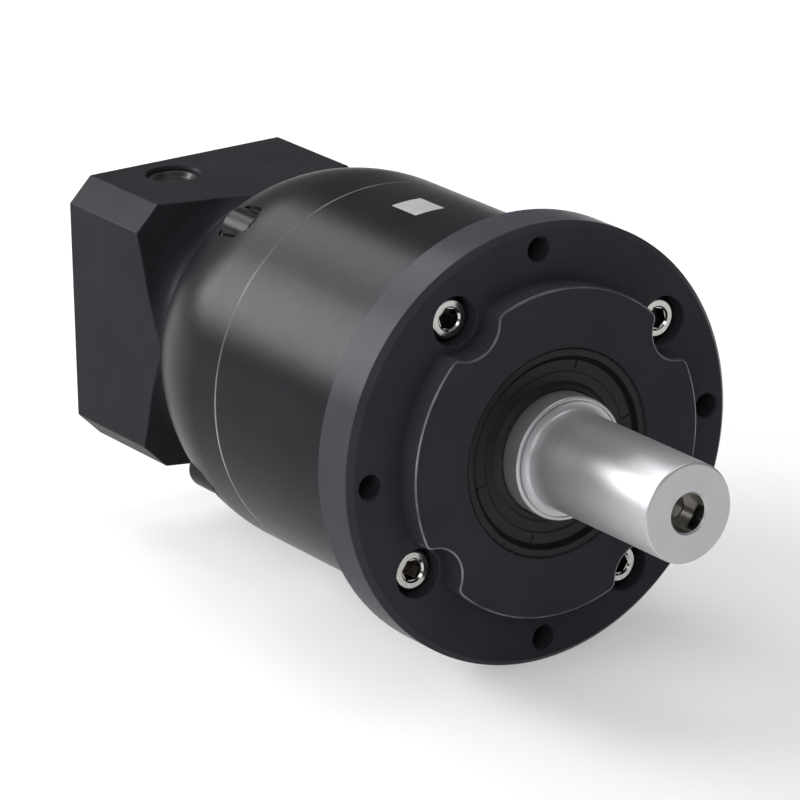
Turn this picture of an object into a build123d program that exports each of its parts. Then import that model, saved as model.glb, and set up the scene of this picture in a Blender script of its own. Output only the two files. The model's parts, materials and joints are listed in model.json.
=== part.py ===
from build123d import *
import math
import os

os.makedirs("parts", exist_ok=True)

# In-line planetary gearbox, millimetres. The X axis is the gearbox axis and points out of the
# output shaft, Z is up, and the origin is the centre of the flange's mounting face.

# Housings: every radius of flange, barrel and gear follows from the barrel's own radius
body_radius = 39.5
body_wall = 8.5
body_edge_chamfer = 0.25
flange_lip = 5.5
flange_thickness = 11.0
flange_edge_chamfer = 1.2
boss_height = 5.5
boss_step = 2.0
boss_edge_chamfer = 0.4
spigot_lip = 6.5
mounting_hole_inset = 5.0
mounting_hole_radius = 2.5
mounting_hole_mouth = 2.9
mounting_hole_depth = 9.5
barrel_length = 8.2
shoulder_length = 18.0
shoulder_drop = 3.5
shoulder_steps = 3
rim_chamfer = 0.5

# Clamping screws that hold flange, ring gear body and rear housing together
clamp_angle = 34.0
clamp_count = 4
clamp_screw_radius = 2.5
clamp_screw_wall = 1.5
clamp_head_radius = 4.25
clamp_head_height = 5.0
clamp_head_recess = 2.0
clamp_socket_flats = 4.0
clamp_socket_depth = 2.6
counterbore_radius = 5.0
boss_notch_radius = 6.4
boss_notch_corner = 2.0
screw_hole_clearance = 0.25
thread_length = 12.0
pocket_length = 9.0
pocket_width = 7.0
pocket_corner = 1.5
pocket_clearance = 0.4
screw_tip = 3.0

# Motor adapter: square block with cut corners, turned down in front to a round neck
neck_relief = 0.1
neck_length = 15.5
neck_fillet = 3.5
block_side = 57.0
block_corner_chamfer = 5.2
block_length = 31.8
block_edge_chamfer = 0.5
front_cone_slope = 0.57
cavity_radius = 17.0
register_radius = 22.0
register_depth = 2.2
motor_pilot_radius = 19.05
motor_pilot_depth = 2.5
motor_bolt_spacing = 47.14
motor_bolt_radius = 2.1
motor_bolt_depth = 12.0
clamp_inset = 10.0
access_hole_radius = 5.5
access_plug_height = 4.0
access_plug_recess = 0.8

# Adapter screws, reached from the motor side
adapter_circle = 24.5
adapter_angle = 70.0
adapter_screw_radius = 2.0
adapter_head_radius = 3.5
adapter_head_height = 4.0
adapter_socket_flats = 3.0
adapter_grip = 21.0
adapter_thread = 9.0

# Gear train: one planetary stage with a fixed ring gear, as large as the barrel's wall leaves room for
ring_wall = 4.0
pressure_angle = 25.0
sun_teeth = 12
planet_teeth = 12
planet_count = 3
first_planet_angle = 90.0
backlash = 0.14
flank_steps = 2
ring_addendum = 0.8
dedendum = 1.25
face_width = 16.5
planet_rim = 0.625
planet_pin_radius = 4.0
sun_stub_shoulder = 1.125

# Output shaft and planet carrier
shaft_radius = 10.0
shaft_reach = 48.0
shaft_end_chamfer = 0.5
shoulder_radius = 12.5
shoulder_reach = 9.4
shoulder_chamfer = 0.5
spacer_radius = 15.5
centre_mouth_radius = 4.3
centre_recess_radius = 3.2
centre_recess_depth = 5.0
centre_thread_radius = 2.5
centre_thread_depth = 18.0
carrier_rim = 6.5
carrier_thickness = 6.0
rear_plate_thickness = 5.0
post_radius = 5.5
carrier_hub_radius = 15.0
carrier_hub_bore = 10.8
carrier_screw_radius = 2.0
carrier_screw_head = 3.5
carrier_screw_sink = 2.2
carrier_screw_length = 12.0
carrier_screw_flats = 2.5
bush_overhang = 0.8

# Bearings, seal and circlip
output_bearing_width = 15.0
output_bearing_radius = 26.0
carrier_bearing_width = 7.0
carrier_bearing_radius = 21.0
input_bearing_width = 10.0
input_bearing_radius = 17.5
output_seal_width = 7.0
output_seal_radius = 21.0
output_seal_recess = 0.4
circlip_thickness = 1.5
circlip_grip = 1.0
circlip_height = 3.3

# Input shaft and its clamp on the motor shaft
sun_stub_length = 27.0
input_seat_radius = 8.5
input_collar_radius = 10.5
motor_shaft_radius = 4.0
clamp_sleeve_wall = 2.2
clamp_sleeve_length = 18.0
motor_socket_depth = 26.0
sleeve_slit = 1.2
hub_clamp_radius = 15.5
hub_clamp_width = 11.0
hub_clamp_slit = 1.6
hub_screw_radius = 2.0
hub_screw_head = 3.5
hub_screw_head_height = 4.0
hub_screw_length = 16.0
hub_screw_seat = 4.0
hub_screw_spacing = 0.8
hub_end_inset = 0.8
sleeve_taper = 3.0

# Fits and running gaps
seat_gap = 0.02
running_gap = 0.04
axial_gap = 0.1
wall_gap = 0.7
inner_wall = 9.0
corner_angle = 45.0
full_turn = 360.0

# Radii that follow from the ones above
flange_radius = body_radius + flange_lip
mounting_circle = flange_radius - mounting_hole_inset
spigot_radius = body_radius - body_wall
clamp_circle = body_radius - clamp_screw_radius - clamp_screw_wall
boss_radius = clamp_circle - boss_step
rim_radius = body_radius - shoulder_drop
pocket_floor = clamp_circle - clamp_screw_radius - pocket_clearance
ring_pitch_radius = spigot_radius - ring_wall

# Stations along the axis, worked out from front to back
flange_back = -flange_thickness
seal_front = boss_height - output_seal_recess
seal_back = seal_front - output_seal_width
bearing_front = seal_back - 0.5
bearing_back = bearing_front - output_bearing_width
circlip_back = bearing_back - circlip_thickness
spigot_back = bearing_back - spigot_lip
carrier_front = circlip_back - wall_gap
carrier_back = carrier_front - carrier_thickness
planet_front = carrier_back - bush_overhang - axial_gap
planet_back = planet_front - face_width
rear_plate_front = planet_back - bush_overhang - axial_gap
rear_plate_back = rear_plate_front - rear_plate_thickness
rear_spigot_front = rear_plate_back - wall_gap
carrier_bearing_front = rear_plate_back - wall_gap - axial_gap
carrier_bearing_back = carrier_bearing_front - carrier_bearing_width
rear_seam = carrier_bearing_back - axial_gap
barrel_back = rear_seam - barrel_length
rim_back = barrel_back - shoulder_length
inner_wall_back = rear_seam - inner_wall
input_bearing_back = inner_wall_back - input_bearing_width
neck_back = rim_back - neck_length
block_back = neck_back - block_length
clamp_seat = -clamp_head_recess - clamp_head_height
pocket_front = rear_seam - thread_length
pocket_back = pocket_front - pocket_length
adapter_seat = rim_back - adapter_grip
sun_back = planet_back
sun_stub_back = sun_back - sun_stub_length
input_shaft_front = rear_seam - 2.5
sleeve_radius = motor_shaft_radius + clamp_sleeve_wall
hub_clamp_centre = block_back + clamp_inset
hub_clamp_front = hub_clamp_centre + hub_clamp_width / 2
hub_clamp_back = hub_clamp_centre - hub_clamp_width / 2
input_shaft_back = hub_clamp_back - hub_end_inset
hub_screw_offset = sleeve_radius + hub_screw_radius + hub_screw_spacing

# Gear sizes
ring_teeth = sun_teeth + 2 * planet_teeth
gear_module = 2 * ring_pitch_radius / ring_teeth
sun_pitch_radius = gear_module * sun_teeth / 2
planet_pitch_radius = gear_module * planet_teeth / 2
planet_circle = sun_pitch_radius + planet_pitch_radius
planet_root_radius = planet_pitch_radius - dedendum * gear_module
sun_root_radius = sun_pitch_radius - dedendum * gear_module
ring_tip_radius = ring_pitch_radius - ring_addendum * gear_module
ring_root_radius = ring_pitch_radius + dedendum * gear_module
planet_bore_radius = planet_root_radius - planet_rim
sun_stub_radius = sun_root_radius - sun_stub_shoulder
carrier_radius = planet_circle + carrier_rim
sun_tooth_phase = full_turn / sun_teeth / 2
ring_space_phase = 0.0
planet_angles = [first_planet_angle + full_turn * i / planet_count for i in range(planet_count)]
post_angles = [angle + full_turn / planet_count / 2 for angle in planet_angles]
clamp_angles = [clamp_angle + full_turn * i / clamp_count for i in range(clamp_count)]
adapter_angles = [adapter_angle + 90.0 * i for i in range(4)]


def turned(*corners):
    """Solid of revolution about the gearbox axis from the (x, radius) corners of its profile."""
    return revolve(make_face(Polyline(*corners, close=True)), Axis.X, full_turn)


def rod(front, back, radius, y=0.0, z=0.0):
    """Round bar along the gearbox axis between two stations."""
    return Pos((front + back) / 2, y, z) * Rot(0, 90, 0) * Cylinder(radius, front - back)


def ring(front, back, inner, outer):
    """Plain ring about the gearbox axis."""
    return rod(front, back, outer) - rod(front, back, inner)


def around(shape, angles, circle):
    """Copies of a shape on a circle about the gearbox axis, each turned to face outwards."""
    return [Rot(angle, 0, 0) * Pos(0, circle, 0) * shape for angle in angles]


def prism(front, back, flats, y=0.0, z=0.0):
    """Hexagonal bar along the gearbox axis."""
    hexagon = RegularPolygon(flats / 2, 6, major_radius=False)
    return extrude(Plane(origin=(back, y, z), x_dir=(0, 1, 0), z_dir=(1, 0, 0)) * hexagon, front - back)


def cap_screw(seat, tip, radius, head_radius, head_height, flats, socket):
    """Hexagon socket head cap screw with its head in front of the seat and its tip behind it."""
    top = seat + head_height
    screw = turned(
        (top, 0), (top, head_radius - 0.4), (top - 0.4, head_radius), (seat, head_radius),
        (seat, radius), (tip, radius), (tip, 0))
    return screw - prism(top, top - socket, flats)


def tooth_angle(radius, base_radius, pitch_half_angle):
    """Half of a tooth's angle at a radius, for an involute with the given base circle."""
    pressure = math.radians(pressure_angle)
    local = math.acos(min(1.0, base_radius / radius))
    return pitch_half_angle + (math.tan(pressure) - pressure) - (math.tan(local) - local)


def polar(radius, angle):
    """Point across the gearbox axis at a radius and an angle in radians."""
    return Vector(0, radius * math.cos(angle), radius * math.sin(angle))


def gear_blank(teeth, tip_radius, root_radius, slack, phase, back, width):
    """Toothed bar whose flanks run through points of the involute; slack widens each tooth."""
    pitch_radius = gear_module * teeth / 2
    base_radius = pitch_radius * math.cos(math.radians(pressure_angle))
    pitch_half_angle = (math.pi * gear_module / 2 + slack) / 2 / pitch_radius
    foot_radius = max(root_radius, base_radius)
    rise = [foot_radius + (tip_radius - foot_radius) * step / flank_steps for step in range(flank_steps + 1)]
    flank = [(radius, tooth_angle(radius, base_radius, pitch_half_angle)) for radius in rise]
    if root_radius < foot_radius:
        flank.insert(0, (root_radius, flank[0][1]))
    outline = []
    for i in range(teeth):
        axis = math.radians(phase) + i * 2 * math.pi / teeth
        outline += [polar(radius, axis - half_angle) for radius, half_angle in flank]
        outline += [polar(radius, axis + half_angle) for radius, half_angle in reversed(flank)]
    bar = extrude(make_face(Polyline(*outline, close=True)), width, dir=(1, 0, 0))
    return Pos(back, 0, 0) * bar


def turn_from_seam(vertex):
    """Degrees from a vertex of the boss outline to the point where its circle starts."""
    return abs(math.degrees(math.atan2(vertex.Y, vertex.X)))


def boss():
    """Centring boss with a round notch, corners eased, over each clamping screw."""
    outline = Circle(boss_radius)
    for angle in clamp_angles:
        outline -= Rot(0, 0, angle) * Pos(clamp_circle, 0) * Circle(boss_notch_radius)
    rim = [v for v in outline.vertices() if v.center().length > boss_radius - seat_gap]
    notch_corners = [v for v in rim if turn_from_seam(v) > 1.0]
    outline = fillet(notch_corners, boss_notch_corner)
    solid = extrude(Plane(origin=(0, 0, 0), x_dir=(0, 1, 0), z_dir=(1, 0, 0)) * outline, boss_height)
    front = solid.faces().sort_by(Axis.X)[-1]
    return chamfer(front.outer_wire().edges(), boss_edge_chamfer)


def output_housing():
    """Flange, centring boss and spigot, bored for the seal and the output bearing."""
    blank = turned(
        (0, 0), (0, flange_radius - flange_edge_chamfer), (-flange_edge_chamfer, flange_radius),
        (flange_back, flange_radius), (flange_back, spigot_radius), (spigot_back, spigot_radius),
        (spigot_back, 0))
    blank += boss()
    bore = turned(
        (boss_height, 0), (boss_height, output_seal_radius + 0.5),
        (boss_height - 0.5, output_seal_radius), (bearing_front, output_seal_radius),
        (bearing_front, output_bearing_radius), (bearing_back - axial_gap, output_bearing_radius),
        (bearing_back - axial_gap, output_bearing_radius + circlip_grip),
        (circlip_back - 2 * axial_gap, output_bearing_radius + circlip_grip),
        (circlip_back - 2 * axial_gap, output_bearing_radius), (spigot_back, output_bearing_radius),
        (spigot_back, 0))
    blank -= bore
    blank -= around(rod(boss_height, clamp_seat, counterbore_radius), clamp_angles, clamp_circle)
    clearance = rod(clamp_seat, flange_back, clamp_screw_radius + screw_hole_clearance)
    blank -= around(clearance, clamp_angles, clamp_circle)
    mouth = mounting_hole_mouth - mounting_hole_radius
    drilled = turned(
        (0, 0), (0, mounting_hole_mouth), (-mouth, mounting_hole_radius),
        (-mounting_hole_depth, mounting_hole_radius), (-mounting_hole_depth, 0))
    blank -= around(drilled, [90.0 * i for i in range(4)], mounting_circle)
    return blank


def ring_gear_body():
    """Barrel whose inner wall carries the fixed ring gear."""
    front = flange_back
    edge = body_edge_chamfer
    teeth_front = spigot_back - axial_gap
    teeth_back = planet_back - 1.5
    barrel = turned(
        (front, spigot_radius + seat_gap), (front, body_radius - edge), (front - edge, body_radius),
        (rear_seam + edge, body_radius), (rear_seam, body_radius - edge),
        (rear_seam, spigot_radius + seat_gap), (teeth_back, spigot_radius + seat_gap),
        (teeth_back, ring_tip_radius - 1.0), (teeth_front, ring_tip_radius - 1.0),
        (teeth_front, spigot_radius + seat_gap))
    barrel -= gear_blank(ring_teeth, ring_root_radius, ring_tip_radius, backlash, ring_space_phase,
                         teeth_back - 1.0, teeth_front - teeth_back + 2.0)
    hole = rod(front, rear_seam, clamp_screw_radius + screw_hole_clearance)
    return barrel - around(hole, clamp_angles, clamp_circle)


def rear_outline():
    """Turned outside of the rear housing: a short barrel, then a shoulder that rounds in to its rim."""
    sweep_radius = (shoulder_length ** 2 + shoulder_drop ** 2) / (2 * shoulder_drop)
    shoulder = []
    for step in range(shoulder_steps):
        along = shoulder_length * step / shoulder_steps
        drop = sweep_radius - math.sqrt(sweep_radius ** 2 - along ** 2)
        shoulder.append((barrel_back - along, body_radius - drop))
    edge = body_edge_chamfer
    return turned(
        (rear_seam, 0), (rear_seam, body_radius - edge), (rear_seam - edge, body_radius), *shoulder,
        (rim_back + rim_chamfer, rim_radius), (rim_back, rim_radius - rim_chamfer), (rim_back, 0))


def rear_housing():
    """Housing behind the ring gear, with bearing seats, seal seat and the screws' run-out pockets."""
    housing = rear_outline()
    housing += rod(rear_spigot_front, rear_seam, spigot_radius)
    housing += rod(rim_back, rim_back - register_depth + axial_gap, register_radius - seat_gap)
    hub_space = carrier_hub_radius + 3.5
    collar_space = input_collar_radius + 3.5
    housing -= turned(
        (rear_spigot_front, 0), (rear_spigot_front, carrier_bearing_radius),
        (carrier_bearing_back, carrier_bearing_radius), (carrier_bearing_back, hub_space),
        (carrier_bearing_back - 2.0, hub_space), (carrier_bearing_back - 2.0, collar_space),
        (inner_wall_back, collar_space), (inner_wall_back, input_bearing_radius),
        (rim_back - register_depth, input_bearing_radius), (rim_back - register_depth, 0))
    thread = rod(rear_seam, pocket_front - screw_tip, clamp_screw_radius + seat_gap)
    housing -= around(thread, clamp_angles, clamp_circle)
    depth = body_radius + 5.0 - pocket_floor
    pocket = Box(pocket_length, depth, pocket_width)
    pocket = fillet(pocket.edges().filter_by(Axis.Y), pocket_corner)
    pocket = Pos((pocket_front + pocket_back) / 2, depth / 2, 0) * pocket
    housing -= around(pocket, clamp_angles, pocket_floor)
    thread_back = rim_back + adapter_thread + 1.0
    tapped = rod(thread_back, rim_back, adapter_screw_radius + seat_gap)
    return housing - around(tapped, adapter_angles, adapter_circle)


def block_prism(front, back, side):
    """Square bar with cut corners."""
    square = chamfer(Rectangle(side, side).vertices(), block_corner_chamfer)
    plane = Plane(origin=(back, 0, 0), x_dir=(0, 1, 0), z_dir=(1, 0, 0))
    return extrude(plane * square, front - back)


def motor_adapter():
    """Square adapter block whose turned front runs into a round neck."""
    half = block_side / 2
    widest = half * math.sqrt(2)
    neck_radius = half - neck_relief
    cone_back = neck_back - front_cone_slope * (widest - half)
    envelope = turned(
        (rim_back, 0), (rim_back, neck_radius), (neck_back + neck_fillet, neck_radius),
        (neck_back - front_cone_slope * neck_fillet, neck_radius + neck_fillet),
        (cone_back, widest), (block_back, widest), (block_back, 0))
    block = block_prism(rim_back, block_back, block_side)
    back_face = block.faces().sort_by(Axis.X)[0]
    adapter = chamfer(back_face.outer_wire().edges(), block_edge_chamfer) & envelope
    adapter -= turned(
        (rim_back, 0), (rim_back, register_radius), (rim_back - register_depth, register_radius),
        (rim_back - register_depth, cavity_radius), (block_back + motor_pilot_depth, cavity_radius),
        (block_back + motor_pilot_depth, motor_pilot_radius), (block_back, motor_pilot_radius),
        (block_back, 0))
    counterbore = rod(adapter_seat, block_back, adapter_head_radius + screw_hole_clearance)
    adapter -= around(counterbore, adapter_angles, adapter_circle)
    clearance = rod(rim_back, adapter_seat, adapter_screw_radius + screw_hole_clearance)
    adapter -= around(clearance, adapter_angles, adapter_circle)
    tapped = rod(block_back + motor_bolt_depth, block_back, motor_bolt_radius)
    bolt_circle = motor_bolt_spacing / math.sqrt(2)
    adapter -= around(tapped, [corner_angle + 90.0 * i for i in range(4)], bolt_circle)
    access = Cylinder(access_hole_radius, half, align=(Align.CENTER, Align.CENTER, Align.MIN))
    return adapter - Pos(hub_clamp_centre, -hub_screw_offset, half / 4) * access


def access_plug():
    """Push-in plug with a dished top that closes the hole over the clamp screw."""
    top = block_side / 2 - access_plug_recess
    plug = Cylinder(access_hole_radius - seat_gap, access_plug_height)
    plug -= Pos(0, 0, access_plug_height / 2) * Cylinder(access_hole_radius - 1.6, 1.0)
    return Pos(hub_clamp_centre, -hub_screw_offset, top - access_plug_height / 2) * plug


def clamp_screws():
    """Long socket screws through flange and ring gear body into the rear housing."""
    screw = cap_screw(clamp_seat, pocket_front - screw_tip, clamp_screw_radius, clamp_head_radius,
                      clamp_head_height, clamp_socket_flats, clamp_socket_depth)
    return around(screw, clamp_angles, clamp_circle)


def adapter_screws():
    """Socket screws that hold the adapter to the rear housing, put in from the motor side."""
    screw = cap_screw(0, -adapter_grip - adapter_thread, adapter_screw_radius, adapter_head_radius,
                      adapter_head_height, adapter_socket_flats, 2.0)
    screw = Pos(adapter_seat, 0, 0) * Rot(0, 180, 0) * screw
    return around(screw, adapter_angles, adapter_circle)


def output_shaft():
    """Output shaft in one piece with the front carrier plate and the posts between the planets."""
    end = shaft_reach
    shoulder = shoulder_reach
    shaft = turned(
        (end, 0), (end, shaft_radius - shaft_end_chamfer), (end - shaft_end_chamfer, shaft_radius),
        (shoulder, shaft_radius), (shoulder, shoulder_radius - shoulder_chamfer),
        (shoulder - shoulder_chamfer, shoulder_radius), (bearing_back, shoulder_radius),
        (bearing_back, spacer_radius), (carrier_front, spacer_radius), (carrier_front, carrier_radius),
        (carrier_back, carrier_radius), (carrier_back, 0))
    post = rod(carrier_back, rear_plate_front, post_radius)
    shaft += around(post, post_angles, planet_circle)
    bored = rod(rear_plate_front + carrier_screw_length, rear_plate_front,
                carrier_screw_radius + seat_gap)
    shaft -= around(bored, post_angles, planet_circle)
    pin_hole = rod(carrier_front + 1.0, carrier_back, planet_pin_radius + seat_gap)
    shaft -= around(pin_hole, planet_angles, planet_circle)
    mouth_depth = (centre_mouth_radius - centre_recess_radius) * math.sqrt(3)
    shaft -= turned(
        (end, 0), (end, centre_mouth_radius), (end - mouth_depth, centre_recess_radius),
        (end - centre_recess_depth, centre_recess_radius),
        (end - centre_recess_depth, centre_thread_radius),
        (end - centre_recess_depth - centre_thread_depth, centre_thread_radius),
        (end - centre_recess_depth - centre_thread_depth, 0))
    return shaft


def carrier_rear_plate():
    """Rear plate of the carrier with the hub that its bearing sits on."""
    plate = turned(
        (rear_plate_front, carrier_hub_bore), (rear_plate_front, carrier_radius),
        (rear_plate_back, carrier_radius), (rear_plate_back, carrier_hub_radius + 2.0),
        (carrier_bearing_front, carrier_hub_radius + 2.0),
        (carrier_bearing_front, carrier_hub_radius), (carrier_bearing_back, carrier_hub_radius),
        (carrier_bearing_back, carrier_hub_bore))
    pin_hole = rod(rear_plate_front, rear_plate_back, planet_pin_radius + seat_gap)
    plate -= around(pin_hole, planet_angles, planet_circle)
    hole = turned(
        (rear_plate_front, 0), (rear_plate_front, carrier_screw_radius + seat_gap),
        (rear_plate_back + carrier_screw_sink, carrier_screw_radius + seat_gap),
        (rear_plate_back, carrier_screw_head + seat_gap), (rear_plate_back, 0))
    return plate - around(hole, post_angles, planet_circle)


def carrier_screws():
    """Countersunk screws that close the carrier."""
    neck = rear_plate_back + carrier_screw_sink
    tip = rear_plate_front + carrier_screw_length - 2.0
    screw = turned(
        (rear_plate_back, 0), (rear_plate_back, carrier_screw_head), (neck, carrier_screw_radius),
        (tip, carrier_screw_radius), (tip, 0))
    screw -= prism(rear_plate_back + 1.4, rear_plate_back, carrier_screw_flats)
    return around(screw, post_angles, planet_circle)


def planet_gear(angle):
    """Planet gear with a tooth pointing straight out from the gearbox axis."""
    blank = gear_blank(planet_teeth, planet_pitch_radius + gear_module,
                       planet_root_radius, -backlash, 0, planet_back, face_width)
    blank -= rod(planet_front, planet_back, planet_bore_radius)
    return around(blank, [angle], planet_circle)[0]


def planet_bush(angle):
    """Bronze bush pressed into a planet gear."""
    bush = ring(planet_front + bush_overhang, planet_back - bush_overhang,
                planet_pin_radius + running_gap, planet_bore_radius - seat_gap)
    return around(bush, [angle], planet_circle)[0]


def planet_pin(angle):
    """Hardened pin that carries a planet between the carrier plates."""
    pin = rod(carrier_front - 1.0, rear_plate_back + 0.2, planet_pin_radius)
    return around(pin, [angle], planet_circle)[0]


def sun_gear():
    """Sun gear with the stub that is pressed into the input shaft."""
    teeth = gear_blank(sun_teeth, sun_pitch_radius + gear_module,
                       sun_root_radius, -backlash, sun_tooth_phase,
                       planet_back, face_width)
    return teeth + rod(sun_back, sun_stub_back, sun_stub_radius)


def input_shaft():
    """Hollow input shaft: sun gear seat, bearing seat and the slit sleeve that grips the motor shaft."""
    sleeve_front = input_shaft_back + clamp_sleeve_length
    shaft = turned(
        (input_shaft_front, 0), (input_shaft_front, input_collar_radius),
        (inner_wall_back, input_collar_radius), (inner_wall_back, input_seat_radius),
        (sleeve_front + sleeve_taper, input_seat_radius), (sleeve_front, sleeve_radius),
        (input_shaft_back, sleeve_radius), (input_shaft_back, 0))
    shaft -= rod(input_shaft_front, sun_stub_back - 1.0, sun_stub_radius + seat_gap)
    socket_front = input_shaft_back + motor_socket_depth
    shaft -= rod(socket_front, input_shaft_back, motor_shaft_radius)
    slit = Box(clamp_sleeve_length - 2.0, 2 * sleeve_radius + 2.0, sleeve_slit)
    return shaft - Pos(input_shaft_back + clamp_sleeve_length / 2 - 1.0, 0, 0) * slit


def clamp_collar():
    """Split collar that squeezes the sleeve, with a step for its screw head."""
    collar = ring(hub_clamp_front, hub_clamp_back, sleeve_radius + seat_gap, hub_clamp_radius)
    collar -= Pos(hub_clamp_centre, -hub_clamp_radius, 0) * Box(
        hub_clamp_width, 2 * hub_clamp_radius, hub_clamp_slit)
    seat = hub_screw_head + 0.4
    collar -= Pos(hub_clamp_centre, -hub_screw_offset, hub_screw_seat) * Cylinder(
        seat, hub_clamp_radius, align=(Align.CENTER, Align.CENTER, Align.MIN))
    return collar - Pos(hub_clamp_centre, -hub_screw_offset, 0) * Cylinder(
        hub_screw_radius + seat_gap, 2 * hub_clamp_radius)


def clamp_screw():
    """Socket screw that closes the collar, with its head up towards the access hole."""
    screw = cap_screw(0, -hub_screw_length, hub_screw_radius, hub_screw_head,
                      hub_screw_head_height, 3.0, 2.0)
    return Pos(hub_clamp_centre, -hub_screw_offset, hub_screw_seat) * Rot(0, -90, 0) * screw


def circlip(front, inner, outer, gap_angle):
    """Open spring ring with a gap."""
    clip = ring(front, front - circlip_thickness, inner, outer)
    middle = (inner + outer) / 2
    gap = Box(circlip_thickness * 2, outer - inner + 2.0, 4.0)
    return clip - Rot(gap_angle, 0, 0) * Pos(front - circlip_thickness / 2, middle, 0) * gap


def bearing(front, width, bore, outer):
    """Sealed rolling bearing as its two rings, which run on each other with a small clearance."""
    split = (bore + outer) / 2
    inner_ring = ring(front, front - width, bore + seat_gap, split)
    outer_ring = ring(front, front - width, split + running_gap, outer - seat_gap)
    return {"inner_ring": inner_ring, "outer_ring": outer_ring}


def output_seal():
    """Rubber shaft seal: raised rim, sunk face and the lip round the shaft."""
    lip_radius = shoulder_radius + running_gap
    rim = output_seal_radius - seat_gap
    return turned(
        (seal_front, rim - 1.3), (seal_front, rim), (seal_back, rim), (seal_back, lip_radius),
        (seal_front - 0.3, lip_radius), (seal_front - 0.3, lip_radius + 1.1),
        (seal_front - 0.8, lip_radius + 1.6), (seal_front - 0.8, rim - 1.3))


def write(name, shape):
    """Writes one node as a STEP file."""
    solids = shape if isinstance(shape, list) else [shape]
    solids = [solid for item in solids for solid in item.solids()]
    export_step(solids[0] if len(solids) == 1 else Compound(children=solids), f"parts/{name}.step")


write("output_housing", output_housing())
write("ring_gear_body", ring_gear_body())
write("rear_housing", rear_housing())
write("motor_adapter", motor_adapter())
write("access_plug", access_plug())
write("clamp_screws", clamp_screws())
write("adapter_screws", adapter_screws())
write("output_shaft", output_shaft())
write("carrier_rear_plate", carrier_rear_plate())
write("carrier_screws", carrier_screws())
write("sun_gear", sun_gear())
write("input_shaft", input_shaft())
write("clamp_collar", clamp_collar())
write("clamp_collar_screw", clamp_screw())
write("output_seal", output_seal())
write("output_circlip", circlip(bearing_back - axial_gap, output_bearing_radius - circlip_height,
                                output_bearing_radius + circlip_grip - seat_gap, 90.0))

for number, angle in enumerate(planet_angles, start=1):
    write(f"planet_gear_{number}", planet_gear(angle))
    write(f"planet_bush_{number}", planet_bush(angle))
    write(f"planet_pin_{number}", planet_pin(angle))

bearings = {
    "output_bearing": bearing(bearing_front, output_bearing_width, shoulder_radius, output_bearing_radius),
    "carrier_bearing": bearing(carrier_bearing_front, carrier_bearing_width, carrier_hub_radius,
                               carrier_bearing_radius),
    "input_bearing": bearing(inner_wall_back, input_bearing_width, input_seat_radius,
                             input_bearing_radius)}
for bearing_name, rings in bearings.items():
    for ring_name, ring_shape in rings.items():
        write(f"{bearing_name}_{ring_name}", ring_shape)
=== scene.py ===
import json
import logging
import math
from collections.abc import Callable
from dataclasses import dataclass
from enum import Enum

import bmesh
import bpy
from mathutils import Matrix, Vector


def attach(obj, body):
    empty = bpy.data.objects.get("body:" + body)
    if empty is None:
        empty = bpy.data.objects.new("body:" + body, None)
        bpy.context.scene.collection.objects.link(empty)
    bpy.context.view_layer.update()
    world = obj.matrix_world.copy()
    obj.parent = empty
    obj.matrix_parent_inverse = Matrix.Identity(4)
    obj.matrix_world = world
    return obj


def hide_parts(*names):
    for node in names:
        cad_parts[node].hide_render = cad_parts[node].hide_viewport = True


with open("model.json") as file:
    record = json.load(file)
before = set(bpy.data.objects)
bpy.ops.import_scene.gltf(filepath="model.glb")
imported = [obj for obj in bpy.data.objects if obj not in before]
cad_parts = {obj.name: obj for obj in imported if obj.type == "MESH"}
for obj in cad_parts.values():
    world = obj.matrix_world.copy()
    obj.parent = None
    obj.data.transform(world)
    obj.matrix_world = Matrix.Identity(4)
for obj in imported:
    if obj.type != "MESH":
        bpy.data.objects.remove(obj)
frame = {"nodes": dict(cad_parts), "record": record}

LOG = logging.getLogger("gearbox")
MM = 0.001
FULL_TURN = 2.0 * math.pi
BODY_STEPS = 160
SHAFT_STEPS = 128
ROUND_STEPS = 120
SMALL_STEPS = 48
HOLE_STEPS = 32
POINT_STEPS = 24
ROUNDING_STEPS = 3
MERGE_DISTANCE = 0.0005
FLAT_ANGLE = 0.3
SHARP_ANGLE = 42.0
SHADING_WEIGHT = 80
NOISE_LOW = 0.3
NOISE_HIGH = 0.7
NOISE_ROUGHNESS = 0.6
SOFT_DETAIL = 3.0
MARK_DETAIL = 4.0
Triple = tuple[float, float, float]
Profile = list[tuple[float, float]]
FaceTest = Callable[[Vector, Vector], bool]
BARREL_RADIUS = 39.5


class Body(Enum):
    """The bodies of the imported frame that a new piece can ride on."""

    HOUSING = "housing"
    CARRIER = "carrier"


class Slot(Enum):
    """Material slots of the record that the finishes stand for."""

    HOUSING = "black_housing"
    FLANGE = "black_flange"
    ADAPTER = "black_adapter"
    SHAFT = "ground_shaft"
    SCREW = "plated_screw"
    GEAR = "gear_steel"
    BEARING = "bearing_steel"
    BRONZE = "bronze"
    SEAL = "seal_rubber"
    PLUG = "plug_plastic"
    SPRING = "spring_steel"


class Carve(Enum):
    """What a cutter does to the shape that it meets."""

    AWAY = "DIFFERENCE"
    JOIN = "UNION"
    WITHIN = "INTERSECT"


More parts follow.
